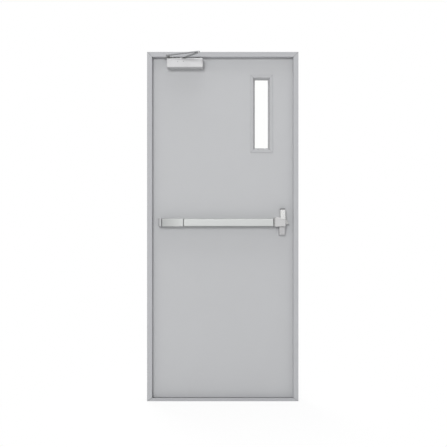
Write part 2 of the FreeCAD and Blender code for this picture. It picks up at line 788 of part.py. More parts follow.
# Exit device: rail on the leaf, cover and cap at its hinge end, sliding touch pad,
# latch case with its lower cover and the sprung latch at the other end.
bar_low = size("bar_z") - size("bar_height") / 2
cap_x = -leaf_half + "bar_in"
rail_x = cap_x + "cap_length" + "slide_play"
cover_x = rail_x + "cap_groove"
cover_end = cover_x + "cover_length"
case_x = leaf_half - "case_edge" - "case_width"
pad_x = cover_end + "pad_gap_left"
case_z = size("bar_z") + "case_rise"
latch_z = size("bar_z") + "latch_rise"


def make_rail():
    """Channel on the leaf, open to the front, that guides the touch pad."""
    body = new_body("exit_rail")
    wall = size("rail_sheet")
    tall = size("bar_height")
    deep = size("rail_depth")
    sketch = new_sketch(body, "rail_profile", "YZ_Plane")
    draw_polygon(sketch, [(0, 0), (0, tall), (-deep, tall), (-deep, tall - wall),
                          (-wall, tall - wall), (-wall, wall), (-deep, wall), (-deep, 0)])
    grow(body, "Pad", "rail_length", sketch, case_x - rail_x - "slide_play")
    place(body, rail_x, leaf_front, bar_low)
    return body


def hollow(body, name, base, wall, test):
    """Shell of a solid, open at the faces whose centre passes the test."""
    names = ["Face%d" % i for i, face in enumerate(base.Shape.Faces, start=1)
             if test(face.CenterOfMass)]
    shell = body.newObject("PartDesign::Thickness", name)
    shell.Base = (base, names)
    bind(shell, "Value", wall)
    shell.Reversed = True
    shell.Mode = "Skin"
    shell.Join = "Intersection"
    doc.recompute()
    return shell


def rounded_bar(body, name, length, deep, tall):
    """Bar along X whose front edges are rounded, the upper one more than the lower one."""
    sketch = new_sketch(body, name + "_profile", "YZ_Plane")
    draw_polygon(sketch, rectangle(-deep, 0, 0, tall))
    pad = grow(body, "Pad", name + "_length", sketch, length)

    def upper(edge, middle):
        return is_line(edge, "x") and near(middle.y, -deep) and near(middle.z, tall)

    def lower(edge, middle):
        return is_line(edge, "x") and near(middle.y, -deep) and near(middle.z, 0)

    top = fillet(body, name + "_upper", pad, "pad_top_round", upper)
    return fillet(body, name + "_lower", top, "pad_low_round", lower)


def make_touch_pad():
    """Touch pad: a shell with closed ends, open at the back, between the rail's flanges."""
    body = new_body("touch_pad")
    wall = size("rail_sheet")
    tall = size("bar_height") - wall * 2 - size("slide_play") * 2
    deep = size("pad_depth")
    bar = rounded_bar(body, "pad", case_x - "pad_gap_right" - pad_x, deep, tall)
    hollow(body, "pad_shell", bar, wall, lambda centre: near(centre.y, 0))
    place(body, pad_x, leaf_front - "pad_out" + deep, bar_low + wall + "slide_play")
    return body


def make_cover():
    """Fixed cover on the rail beside the touch pad, open at both ends and the back."""
    body = new_body("rail_cover")
    deep = size("pad_out") - "rail_depth" - "cover_back"
    wide = size("cover_length")
    bar = rounded_bar(body, "cover", wide, deep, "bar_height")
    hollow(body, "cover_shell", bar, "rail_sheet",
           lambda centre: near(centre.y, 0) or near(centre.x, 0) or near(centre.x, wide))
    place(body, cover_x, leaf_front - "rail_depth", bar_low)
    return body


def make_end_cap():
    """Cast cap that closes the rail's hinge end, with a sloping outer side."""
    body = new_body("rail_end_cap")
    deep = size("pad_out") - "cap_back"
    side = size("cap_side")
    tall = size("bar_height")
    sketch = new_sketch(body, "cap_outline", "XY_Plane")
    draw_polygon(sketch, [(0, 0), (0, -side), ("cap_slope", -deep), ("cap_length", -deep),
                          ("cap_length", 0)])
    pad = grow(body, "Pad", "cap_block", sketch, tall)

    def shows(edge, middle):
        outer = is_line(edge, "z") and not near(middle.y, 0) and not near(middle.x, "cap_length")
        rim = near(middle.y, -deep) or near(middle.y, -(side + deep) / 2)
        return outer or (rim and (near(middle.z, 0) or near(middle.z, tall)))

    fillet(body, "cap_rounding", pad, "cap_round", shows)
    place(body, cap_x, leaf_front, bar_low)
    return body


def make_case():
    """Latch case in line with the rail, with a lug in the rail's end and the latch's slot."""
    body = new_body("latch_case")
    wide = size("case_width")
    deep = size("case_depth")
    high = size("case_height") / 2
    block = new_sketch(body, "case_block", "XZ_Plane")
    draw_polygon(block, rectangle(0, -high, wide, high))
    pad = grow(body, "Pad", "case_block_body", block, deep)

    def upper(edge, middle):
        return near(middle.y, -deep) and near(middle.z, high)

    def front(edge, middle):
        return near(middle.y, -deep) and middle.z < 1

    top = fillet(body, "case_upper_rounding", pad, "case_top_round", upper)
    fillet(body, "case_rounding", top, "case_round", front)
    lug = new_sketch(body, "case_lug", "YZ_Plane")
    play = size("slide_play")
    wall = size("rail_sheet") + play
    middle = -size("case_rise")
    half = size("bar_height") / 2 - wall
    draw_polygon(lug, rectangle(-size("rail_depth"), middle - half, -wall, middle + half))
    grow(body, "Pad", "case_lug_body", lug, "neck_length", True)
    slot = new_sketch(body, "case_slot", "YZ_Plane", wide)
    half = size("latch_thickness") / 2 + play
    bottom = size("latch_rise") - "case_rise" - size("latch_height") / 2 - play
    draw_polygon(slot, rectangle(-(size("latch_out") + half), bottom,
                                 -(size("latch_out") - half),
                                 bottom + "latch_height" + play * 2))
    grow(body, "Pocket", "case_slot_cut", slot,
         size("latch_tail") + "latch_reach" + "latch_room", True)
    place(body, case_x, leaf_front, case_z)
    return body


def leaning_cover(body, name, wide, low_depth, top_depth, tall, radius, open_end):
    """Cover whose front leans: its depth changes from foot to top; open_end stays sharp."""
    sketch = new_sketch(body, name + "_profile", "YZ_Plane")
    draw_polygon(sketch, [(0, 0), (-size(low_depth), 0), (-size(top_depth), tall), (0, tall)])
    pad = grow(body, "Pad", name + "_block", sketch, wide)
    half_way = -(size(low_depth) + top_depth) / 2
    end_depth = -size(low_depth) if open_end == "top" else -size(top_depth)
    end_height = size(0) if open_end == "top" else size(tall)

    def shows(edge, middle):
        across = near(middle.y, end_depth) and near(middle.z, end_height)
        return near(middle.y, half_way) or across

    return fillet(body, name + "_rounding", pad, radius, shows)


def make_upper_cover():
    """Upright cover on the latch case, that leans back towards its top."""
    body = new_body("latch_case_upper_cover")
    leaning_cover(body, "post", "post_width", "post_depth", "post_top_depth", "post_height",
                  "post_round", "foot")
    place(body, case_x + "case_width" - "post_width", leaf_front,
          case_z + size("case_height") / 2)
    return body


def make_end_plug():
    """Plug that closes the top of the upper cover, a little inside its outline."""
    body = new_body("latch_case_end_plug")
    inset = size("plug_inset")
    sketch = new_sketch(body, "plug_outline", "XY_Plane")
    draw_polygon(sketch, rectangle(inset, -(size("post_top_depth") - "post_round" - inset),
                                   size("post_width") - inset, 0))
    pad = grow(body, "Pad", "plug_block", sketch, "plug_height")

    def shows(edge, middle):
        return near(middle.z, "plug_height") and not near(middle.y, 0)

    fillet(body, "plug_rounding", pad, inset, shows)
    place(body, case_x + "case_width" - "post_width", leaf_front,
          case_z + size("case_height") / 2 + "post_height")
    return body


def make_lower_cover():
    """Rounded cover under the latch case, a little wider than the upper one, that tapers."""
    body = new_body("latch_case_lower_cover")
    leaning_cover(body, "foot", "foot_width", "foot_low_depth", "foot_depth", "foot_height",
                  "foot_round", "top")
    place(body, case_x + "case_width" - "foot_width", leaf_front,
          case_z - size("case_height") / 2 - "foot_gap" - "foot_height")
    return body


def make_latch():
    """Latch with a sloping upper edge, a blunt end and a flat underside."""
    body = new_body("latch_bolt")
    sketch = new_sketch(body, "latch_profile", "XZ_Plane")
    half = size("latch_height") / 2
    tail = size("latch_tail")
    reach = size("latch_reach")
    draw_polygon(sketch, [(-tail, -half), (reach, -half), (reach, -half + "latch_nose"),
                          ("latch_root", half), (-tail, half)])
    grow(body, "Pad", "latch_body", sketch, "latch_thickness")
    place(body, case_x + "case_width",
          leaf_front - "latch_out" + size("latch_thickness") / 2, latch_z)
    return body


make_rail()
make_touch_pad()
make_cover()
make_end_cap()
make_case()
make_upper_cover()
make_end_plug()
make_lower_cover()
make_latch()

doc.recompute()

for thing in doc.Objects:
    state = [word for word in thing.State if word in ("Invalid", "Error")]
    if state:
        raise RuntimeError("%s is %s" % (thing.Name, state))

os.makedirs("parts", exist_ok=True)
for piece in pieces:
    shape = piece.Shape
    if shape.isNull() or not shape.isValid():
        raise RuntimeError("%s has no valid shape" % piece.Label)
    if len(shape.Solids) < 1:
        raise RuntimeError("%s has no solid" % piece.Label)
    shape.exportStep("parts/%s.step" % piece.Label)
    box = shape.BoundBox
    print("%-24s %9.0f mm3  x %7.1f %7.1f  y %6.1f %6.1f  z %7.1f %7.1f" % (
        piece.Label, shape.Volume, box.XMin, box.XMax, box.YMin, box.YMax,
        box.ZMin, box.ZMax))
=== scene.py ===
# %% [markdown]
# # A steel fire door with a push bar
#
# This lesson dresses a steel fire door: a pressed steel frame, a flat painted leaf with a
# narrow glass panel, a door closer with two arms, and a push bar that works a sprung latch.
# The solids come from a CAD model in metres, already in their places. Blender adds the
# finishes, two thin trims, the small screws, the light and the camera. It moves nothing.

import math

import bmesh
import bpy
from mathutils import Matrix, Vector


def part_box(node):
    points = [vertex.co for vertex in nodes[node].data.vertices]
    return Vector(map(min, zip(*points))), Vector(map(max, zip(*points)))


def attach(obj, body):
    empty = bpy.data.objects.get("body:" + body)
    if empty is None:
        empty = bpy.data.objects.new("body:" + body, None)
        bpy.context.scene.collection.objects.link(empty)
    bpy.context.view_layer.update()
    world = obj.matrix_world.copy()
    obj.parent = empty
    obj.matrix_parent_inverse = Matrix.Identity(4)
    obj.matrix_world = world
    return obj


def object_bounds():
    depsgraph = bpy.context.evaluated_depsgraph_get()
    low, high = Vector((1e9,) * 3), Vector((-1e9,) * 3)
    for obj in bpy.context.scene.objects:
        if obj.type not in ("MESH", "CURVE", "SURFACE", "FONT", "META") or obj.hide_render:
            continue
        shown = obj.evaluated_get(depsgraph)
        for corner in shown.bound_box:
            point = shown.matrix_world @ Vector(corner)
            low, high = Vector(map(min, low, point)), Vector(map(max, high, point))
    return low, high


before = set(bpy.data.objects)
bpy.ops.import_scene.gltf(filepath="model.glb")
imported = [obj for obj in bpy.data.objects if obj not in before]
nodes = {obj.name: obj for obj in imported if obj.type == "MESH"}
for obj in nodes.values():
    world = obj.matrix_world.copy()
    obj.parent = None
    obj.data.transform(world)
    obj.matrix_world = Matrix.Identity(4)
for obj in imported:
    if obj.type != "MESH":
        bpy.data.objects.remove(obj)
cad_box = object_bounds()
print("size in mm:", [round((b - a) * 1000) for a, b in zip(*cad_box)])

# %% [markdown]
# ## The camera
#
# The door was photographed straight on, from about the height of its middle. A camera that
# looks level keeps every upright edge upright. The distance decides how much of the frame's
# inner sides shows: from about four metres they are thin dark lines, as in the photograph.

# %% Camera
EYE = Vector((0.0045, -4.040, 1.068))
LENS_MM, SENSOR_MM, PHOTO_PIXELS = 53.6, 36.0, 447
FRAME_FRONT_Y = -0.040
camera_data = bpy.data.cameras.new("door_camera")
camera_data.lens = LENS_MM
camera_data.sensor_width = SENSOR_MM
camera = bpy.data.objects.new("door_camera", camera_data)
camera.location = EYE
camera.rotation_euler = (math.radians(90), 0, 0)
bpy.context.scene.collection.objects.link(camera)
bpy.context.scene.camera = camera
mm_per_pixel = SENSOR_MM / LENS_MM * (FRAME_FRONT_Y - EYE.y) / PHOTO_PIXELS * 1000
print("millimetres to a pixel at the frame's face:", round(mm_per_pixel, 3))

# %% [markdown]
# ## Helpers for every material
#
# Colours are written as they look on a screen. Blender calculates with light, so each hex
# value is turned to linear once, by one function. A second function adds any node: its
# settings, its fixed values and its links are written in one place, so a material reads
# from top to bottom like a recipe. A noise node counts its spots per metre, but a finish is
# easier to picture in millimetres, so a third function turns one into the other.

# %% Colours, nodes and distances
def linear(colour, gain=1.0):
    """A hex colour as the linear RGBA that Blender calculates with."""
    parts = [int(colour[i:i + 2], 16) / 255 for i in (1, 3, 5)]
    parts = [c / 12.92 if c <= 0.04045 else ((c + 0.055) / 1.055) ** 2.4 for c in parts]
    return tuple(min(c * gain, 1.0) for c in parts) + (1.0,)


def add(tree, kind, values=None, links=None, **settings):
    """A node of any kind, with its settings, its fixed values and its links."""
    made = tree.nodes.new(kind)
    for name, value in settings.items():
        setattr(made, name, value)
    for name, value in (values or {}).items():
        made.inputs[name].default_value = value
    for name, source in (links or {}).items():
        tree.links.new(source, made.inputs[name])
    return made


def per_metre(apart_mm):
    """How many spots a noise has in a metre when they lie that far apart."""
    return 1000 / apart_mm


print("mid grey #BDBEC0 is", [round(c, 3) for c in linear("#BDBEC0")[:3]])

# %% [markdown]
# Every material starts from an empty node tree. The floor and the world also have to look
# white to the eye and less bright as a source of light, and a Light Path node tells which
# kind of ray has arrived. Both use the same three kinds, so they share a helper.

# %% Start a material, and tell what sees it
def empty_material(name):
    """A new material and its node tree, with nothing in it."""
    material = bpy.data.materials.new(name)
    material.use_nodes = True
    material.node_tree.nodes.clear()
    return material, material.node_tree


def seen_directly(tree):
    """1 for a ray from the camera, from a reflection or through glass, and else 0."""
    sight = add(tree, "ShaderNodeLightPath")
    seen = sight.outputs["Is Camera Ray"]
    for ray in ("Is Glossy Ray", "Is Transmission Ray"):
        seen = add(tree, "ShaderNodeMath", {}, {0: seen, 1: sight.outputs[ray]},
                   operation="MAXIMUM").outputs[0]
    return seen


print("spots 5 mm apart are", per_metre(5), "to a metre")

# %% [markdown]
# ## Floor
#
# The photograph has a plain white ground. The floor is a pale sheet that is drawn white to
# the camera. Close to the door a part of its real shading is mixed in, so that the door
# still stands on a soft shadow, and that part fades out with the distance.

# %% Floor
SHADOW_SHARE, SHADOW_FULL_TO, SHADOW_GONE_AT = 0.12, 0.4, 1.3
FLOOR_HALF, FLOOR_DROP = 20.0, 0.0005
floor_paper, tree = empty_material("pale_studio_floor")
seen = seen_directly(tree)
tone = add(tree, "ShaderNodeMix", {6: linear("#E2E2E2"), 7: linear("#FAFAFA")}, {0: seen},
           data_type="RGBA")
matt = add(tree, "ShaderNodeBsdfDiffuse", {}, {"Color": tone.outputs[2]})
white = add(tree, "ShaderNodeEmission", {"Color": linear("#FFFFFF"), "Strength": 1.0})
spot = add(tree, "ShaderNodeTexCoord").outputs["Object"]
reach = add(tree, "ShaderNodeVectorMath", {}, {0: spot}, operation="LENGTH")
fade = add(tree, "ShaderNodeMapRange",
           {"From Min": SHADOW_FULL_TO, "From Max": SHADOW_GONE_AT,
            "To Min": 1.0 - SHADOW_SHARE, "To Max": 1.0},
           {"Value": reach.outputs["Value"]}, interpolation_type="SMOOTHSTEP")
share = add(tree, "ShaderNodeMath", {}, {0: seen, 1: fade.outputs[0]}, operation="MULTIPLY")
mixed = add(tree, "ShaderNodeMixShader", {},
            {0: share.outputs[0], 1: matt.outputs[0], 2: white.outputs[0]})
add(tree, "ShaderNodeOutputMaterial", {}, {"Surface": mixed.outputs[0]})

bm = bmesh.new()
bmesh.ops.create_grid(bm, x_segments=1, y_segments=1, size=FLOOR_HALF)
floor_mesh = bpy.data.meshes.new("studio_floor")
bm.to_mesh(floor_mesh)
bm.free()
floor_mesh.materials.append(floor_paper)
floor = bpy.data.objects.new("studio_floor", floor_mesh)
floor.location.z = -FLOOR_DROP
bpy.context.scene.collection.objects.link(floor)
print("floor", floor.dimensions.x, "m wide")

# %% [markdown]
# ## World
#
# The world is white where the camera, a reflection or the glass sees it. As a source of
# light it is less than half as bright, so that the lamps still draw soft shadows.

# %% World
SOURCE_STRENGTH, SEEN_STRENGTH = 0.42, 1.0
world = bpy.data.worlds.new("white_studio")
bpy.context.scene.world = world
world.use_nodes = True
tree = world.node_tree
tree.nodes.clear()
dim = add(tree, "ShaderNodeBackground",
          {"Color": linear("#FFFFFF"), "Strength": SOURCE_STRENGTH})
bright = add(tree, "ShaderNodeBackground",
             {"Color": linear("#FFFFFF"), "Strength": SEEN_STRENGTH})
mixed = add(tree, "ShaderNodeMixShader", {},
            {0: seen_directly(tree), 1: dim.outputs[0], 2: bright.outputs[0]})
add(tree, "ShaderNodeOutputWorld", {}, {"Surface": mixed.outputs[0]})
bpy.context.scene.view_settings.view_transform = "Standard"
print("world light", SOURCE_STRENGTH)

# %% [markdown]
# ## Lamps
#
# Three wide lamps shine on the door. The key lamp stands far off in front, a little to the
# left and a little above: from there the shadows are short and soft, and a leaf two metres
# high is lit evenly from top to bottom. The top lamp hangs straight above and picks out the
# upper edges of the closer, the push bar and the sill. The back lamp lights the far side. It
# hangs high and to one side, because the camera would see it through the glass panel if it
# stood behind the door.

# %% Lamps
DOOR_MIDDLE = Vector((0, 0, 1.05))


def lamp(name, place, size, watts):
    """A square lamp that faces the middle of the door."""
    data = bpy.data.lights.new(name, "AREA")
    data.shape = "SQUARE"
    data.size = size
    data.energy = watts
    made = bpy.data.objects.new(name, data)
    made.location = place
    aim = DOOR_MIDDLE - made.location
    made.rotation_euler = aim.to_track_quat("-Z", "Y").to_euler()
    bpy.context.scene.collection.objects.link(made)
    print(name, watts, "W,", round(aim.length, 2), "m from the door")


lamp("key_lamp", (-3.8, -19.2, 5.9), size=4.0, watts=1375.0)
lamp("top_lamp", (0.0, -0.6, 9.0), size=6.0, watts=380.0)
lamp("back_lamp", (-3.0, 7.0, 8.0), size=4.0, watts=380.0)

# %% [markdown]
# ## A mitre line
#
# Where two folded members meet at a mitre, the paint bridges a fine joint and leaves a
# thin dark line. It could be cut as a groove, but it is finer than the sheet is thick, so it
# is drawn in the paint: a line is the place where the distance from the side and the
# distance from the top are the same.

# %% A mitre line in the paint
LINE_HALF_MM, LINE_SOFTNESS = 0.9, 2.0


def mitre_line(tree, spot, centre, slope, shift):
    """1 along |x - centre x| * slope - |z - centre z| + shift = 0, and 0 away from it."""
    axes = add(tree, "ShaderNodeSeparateXYZ", {}, {0: spot})
    side = add(tree, "ShaderNodeMath", {1: centre[0]}, {0: axes.outputs["X"]},
               operation="SUBTRACT")
    side = add(tree, "ShaderNodeMath", {}, {0: side.outputs[0]}, operation="ABSOLUTE")
    rise = add(tree, "ShaderNodeMath", {1: centre[1]}, {0: axes.outputs["Z"]},
               operation="SUBTRACT")
    rise = add(tree, "ShaderNodeMath", {}, {0: rise.outputs[0]}, operation="ABSOLUTE")
    line = add(tree, "ShaderNodeMath", {1: slope, 2: shift}, {0: side.outputs[0]},
               operation="MULTIPLY_ADD")
    away = add(tree, "ShaderNodeMath", {}, {0: line.outputs[0], 1: rise.outputs[0]},
               operation="SUBTRACT")
    away = add(tree, "ShaderNodeMath", {}, {0: away.outputs[0]}, operation="ABSOLUTE")
    full = LINE_HALF_MM / 1000
    near = add(tree, "ShaderNodeMapRange",
               {"From Min": full, "From Max": full * LINE_SOFTNESS,
                "To Min": 1.0, "To Max": 0.0}, {"Value": away.outputs[0]})
    return near.outputs[0]


print("a mitre line is drawn", 2 * LINE_HALF_MM, "mm wide")

# %% [markdown]
# ## Powder-coated steel
#
# Leaf and frame are folded from zinc-coated sheet and powder coated in light grey. The
# powder melts into a skin that is even in colour and slightly dimpled, which painters call
# orange peel. The real dimples are about 2 mm apart. Here they are drawn 7 mm apart and
# very shallow, because finer ones would vanish between two pixels. A broad, faint cloud in
# the colour and in the roughness keeps a two-metre sheet from looking computed.

# %% Powder coat
def powder_coat(name, colour, mitres=(), line_gain=0.55, cloud_mm=420.0, peel_mm=7.0):
    """Light grey powder coat on sheet steel; line_gain darkens the line at each mitre."""
    material, tree = empty_material(name)
    spot = add(tree, "ShaderNodeTexCoord").outputs["Object"]
    cloud = add(tree, "ShaderNodeTexNoise",
                {"Scale": per_metre(cloud_mm), "Detail": 3.0, "Roughness": 0.5},
                {"Vector": spot})
    peel = add(tree, "ShaderNodeTexNoise",
               {"Scale": per_metre(peel_mm), "Detail": 1.5, "Roughness": 0.5},
               {"Vector": spot})
    paint = add(tree, "ShaderNodeMix", {6: linear(colour, 0.97), 7: linear(colour, 1.03)},
                {0: cloud.outputs["Fac"]}, data_type="RGBA")
    sheen = add(tree, "ShaderNodeMapRange",
                {"From Min": 0.3, "From Max": 0.7, "To Min": 0.52, "To Max": 0.62},
                {"Value": cloud.outputs["Fac"]})
    skin = add(tree, "ShaderNodeBump", {"Strength": 0.12, "Distance": 0.0004},
               {"Height": peel.outputs["Fac"]})
    colour_out, normal_out = paint.outputs[2], skin.outputs[0]
    for mitre in mitres:
        line = mitre_line(tree, spot, *mitre)
        paint = add(tree, "ShaderNodeMix", {7: linear(colour, line_gain)},
                    {0: line, 6: colour_out}, data_type="RGBA")
        skin = add(tree, "ShaderNodeBump", {"Strength": 0.5, "Distance": 0.0006},
                   {"Height": line, "Normal": normal_out}, invert=True)
        colour_out, normal_out = paint.outputs[2], skin.outputs[0]
    shader = add(tree, "ShaderNodeBsdfPrincipled", {"IOR": 1.5, "Specular IOR Level": 0.35},
                 {"Base Color": colour_out, "Roughness": sheen.outputs[0],
                  "Normal": normal_out})
    add(tree, "ShaderNodeOutputMaterial", {}, {"Surface": shader.outputs[0]})
    return material


leaf_coat = powder_coat("powder_coated_steel_leaf", "#BFC0C2")
edge_coat = powder_coat("powder_coated_steel_channel", "#B4B5B8")
print("coats without a mitre:", leaf_coat.name, edge_coat.name)

# %% [markdown]
# ### Coats with mitres
#
# The mitres of the head run at 45 degrees into its corners. The sill's face is lower than
# the jambs' faces are wide, so its mitres run flatter. The glazing bead has four mitres that
# mirror each other about its own middle, and its line is fainter.
#
# Every line is mirrored at the height of its centre. The head's lines need no mirrored pair,
# so their centre lies on the floor and the pair falls below it. The sill's centre lies far
# above the door for the same reason.

# %% Coats of frame and glazing bead
half_width, door_top = cad_box[1].x, cad_box[1].z
FACE, UPSTAND_TOP, FAR_ABOVE = 0.030, 0.019, 3.0
flat = UPSTAND_TOP / FACE
head_mitre = ((0.0, 0.0), 1.0, door_top - half_width)
sill_mitre = ((0.0, FAR_ABOVE), flat, FAR_ABOVE - half_width * flat)
frame_coat = powder_coat("powder_coated_steel_frame", "#B7B8BB", (head_mitre, sill_mitre))

bead_low, bead_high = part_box("vision_bead_front")
bead_mid = (bead_low + bead_high) / 2
bead_half = (bead_high - bead_low) / 2
bead_mitre = ((bead_mid.x, bead_mid.z), 1.0, bead_half.z - bead_half.x)
bead_coat = powder_coat("powder_coated_steel_bead", "#BABBBD", (bead_mitre,),
                       line_gain=0.75)
print("bead", [round(v * 2000) for v in (bead_half.x, bead_half.z)], "mm")

# %% [markdown]
# ## Mineral board
#
# Between the skins lies a mineral board, which only shows if the leaf is cut open. It is a
# pale, chalky fibre board, so it has no gloss, and its fibres make the colour uneven.

# %% Mineral board
FIBRE_MM = 6.25
mineral_board, tree = empty_material("mineral_fibre_board")
spot = add(tree, "ShaderNodeTexCoord").outputs["Object"]
fibre = add(tree, "ShaderNodeTexNoise", {"Scale": per_metre(FIBRE_MM), "Detail": 6.0},
            {"Vector": spot})
chalk = add(tree, "ShaderNodeMix", {6: linear("#BDB7A8"), 7: linear("#DAD5C8")},
            {0: fibre.outputs["Fac"]}, data_type="RGBA")
rough = add(tree, "ShaderNodeBump", {"Strength": 0.5, "Distance": 0.0008},
            {"Height": fibre.outputs["Fac"]})
shader = add(tree, "ShaderNodeBsdfPrincipled", {"Roughness": 0.95, "IOR": 1.45},
             {"Base Color": chalk.outputs[2], "Normal": rough.outputs[0]})
add(tree, "ShaderNodeOutputMaterial", {}, {"Surface": shader.outputs[0]})
print("board fibres drawn", FIBRE_MM, "mm apart")

# %% [markdown]
# ## Seal rubber
#
# The smoke seal on the stop and the tape under the beads are a matt grey rubber. Rubber
# holds dust, which shows as a soft cloud, and its skin has a fine grain from the die.

# %% Seal rubber
DUST_MM, SEAL_GRAIN_MM = 11.1, 1.43
seal_rubber, tree = empty_material("epdm_seal_rubber")
spot = add(tree, "ShaderNodeTexCoord").outputs["Object"]
dust = add(tree, "ShaderNodeTexNoise", {"Scale": per_metre(DUST_MM), "Detail": 4.0},
           {"Vector": spot})
grey = add(tree, "ShaderNodeMix", {6: linear("#3E4043"), 7: linear("#55575B")},
           {0: dust.outputs["Fac"]}, data_type="RGBA")
grain = add(tree, "ShaderNodeTexNoise", {"Scale": per_metre(SEAL_GRAIN_MM), "Detail": 2.0},
            {"Vector": spot})
skin = add(tree, "ShaderNodeBump", {"Strength": 0.3, "Distance": 0.0003},
           {"Height": grain.outputs["Fac"]})
shader = add(tree, "ShaderNodeBsdfPrincipled", {"Roughness": 0.82, "IOR": 1.52},
             {"Base Color": grey.outputs[2], "Normal": skin.outputs[0]})
add(tree, "ShaderNodeOutputMaterial", {}, {"Surface": shader.outputs[0]})
print("seal grain drawn", SEAL_GRAIN_MM, "mm apart")

# %% [markdown]
# ## Fire glass
#
# The panel is clear fire glass: a slab with a faint green tint, thick enough to bend what
# lies behind it a little, and it shows the white background. Sheet glass is never quite
# flat, so a broad, very shallow wave runs through its faces.

# %% Fire glass
GLASS_INDEX, WAVE_MM = 1.52, 111.0
fire_glass, tree = empty_material("clear_fire_glass")
spot = add(tree, "ShaderNodeTexCoord").outputs["Object"]
wave = add(tree, "ShaderNodeTexNoise", {"Scale": per_metre(WAVE_MM), "Detail": 1.0},
           {"Vector": spot})
clean = add(tree, "ShaderNodeMapRange", {"To Min": 0.0, "To Max": 0.02},
            {"Value": wave.outputs["Fac"]})
bend = add(tree, "ShaderNodeBump", {"Strength": 0.04, "Distance": 0.0005},
           {"Height": wave.outputs["Fac"]})
shader = add(tree, "ShaderNodeBsdfPrincipled",
             {"Base Color": linear("#FEFFFE"), "IOR": GLASS_INDEX, "Transmission Weight": 1.0},
             {"Roughness": clean.outputs[0], "Normal": bend.outputs[0]})
add(tree, "ShaderNodeOutputMaterial", {}, {"Surface": shader.outputs[0]})
print("glass index", GLASS_INDEX)

# %% [markdown]
# ## Silver enamel on castings
#
# The closer and the latch case are aluminium castings sprayed with silver enamel: a paint
# with fine metal flakes. It is brighter than the leaf, its edges catch the light, and it
# hides the casting's skin. Real flakes are about 0.05 mm across. Here they are drawn 1.5 mm
# apart, as a slight speckle in the tone, because finer ones would not show.

# %% Silver enamel
def silver_enamel(name, colour, flake_mm=1.5, cloud_mm=71.4):
    """Cast metal sprayed with a silver flake paint."""
    material, tree = empty_material(name)
    spot = add(tree, "ShaderNodeTexCoord").outputs["Object"]
    flake = add(tree, "ShaderNodeTexVoronoi", {"Scale": per_metre(flake_mm)},
                {"Vector": spot})
    cloud = add(tree, "ShaderNodeTexNoise", {"Scale": per_metre(cloud_mm), "Detail": 2.0},
                {"Vector": spot})
    paint = add(tree, "ShaderNodeMix", {6: linear(colour, 0.95), 7: linear(colour, 1.05)},
                {0: flake.outputs["Color"]}, data_type="RGBA")
    sheen = add(tree, "ShaderNodeMapRange", {"To Min": 0.48, "To Max": 0.58},
                {"Value": cloud.outputs["Fac"]})
    skin = add(tree, "ShaderNodeBump", {"Strength": 0.10, "Distance": 0.0004},
               {"Height": cloud.outputs["Fac"]})
    shader = add(tree, "ShaderNodeBsdfPrincipled", {"Metallic": 0.25},
                 {"Base Color": paint.outputs[2], "Roughness": sheen.outputs[0],
                  "Normal": skin.outputs[0]})
    add(tree, "ShaderNodeOutputMaterial", {}, {"Surface": shader.outputs[0]})
    return material


closer_enamel = silver_enamel("silver_enamel_closer", "#C0C0C1")
case_enamel = silver_enamel("silver_enamel_latch_case", "#BCBCBC")
post_enamel = silver_enamel("silver_enamel_upper_cover", "#CBCBCA")
foot_enamel = silver_enamel("silver_enamel_lower_cover", "#BCBCBD")
cap_enamel = silver_enamel("grey_enamel_end_cap", "#ACADAE")
print("enamels", closer_enamel.name, case_enamel.name)

# %% [markdown]
# ## Moulded nylon
#
# The plug on top of the latch case and the two small plugs in the closer's front are
# moulded nylon, dark grey and matt. The steel mould is spark eroded, which leaves an even,
# fine grain on the plug.

# %% Moulded nylon
NYLON_GRAIN_MM = 0.91
plug_nylon, tree = empty_material("moulded_nylon_plug")
spot = add(tree, "ShaderNodeTexCoord").outputs["Object"]
grain = add(tree, "ShaderNodeTexNoise", {"Scale": per_metre(NYLON_GRAIN_MM), "Detail": 2.0},
            {"Vector": spot})
grey = add(tree, "ShaderNodeMix", {6: linear("#545557"), 7: linear("#636467")},
           {0: grain.outputs["Fac"]}, data_type="RGBA")
skin = add(tree, "ShaderNodeBump", {"Strength": 0.25, "Distance": 0.0003},
           {"Height": grain.outputs["Fac"]})
shader = add(tree, "ShaderNodeBsdfPrincipled", {"Roughness": 0.6, "IOR": 1.53},
             {"Base Color": grey.outputs[2], "Normal": skin.outputs[0]})
add(tree, "ShaderNodeOutputMaterial", {}, {"Surface": shader.outputs[0]})
print("nylon grain drawn", NYLON_GRAIN_MM, "mm apart")

# %% [markdown]
# ## Satin metals
#
# The touch pad, the rail and the rail's cover are aluminium sections with a satin finish.
# The belt that made it satin ran along the bar, so the scratches lie lengthways and the
# highlight spreads across them. The scratches are drawn 1.2 mm apart instead of 0.1 mm.
# A helper makes them all, and it can paint shade on a piece, darker towards one of its ends.

# %% Satin metal
ALONG_X, ALONG_Z = 0, 2
SCRATCH_MM, SCRATCH_RUN_MM, GLOSS_SPREAD = 1.2, 160.0, 0.07


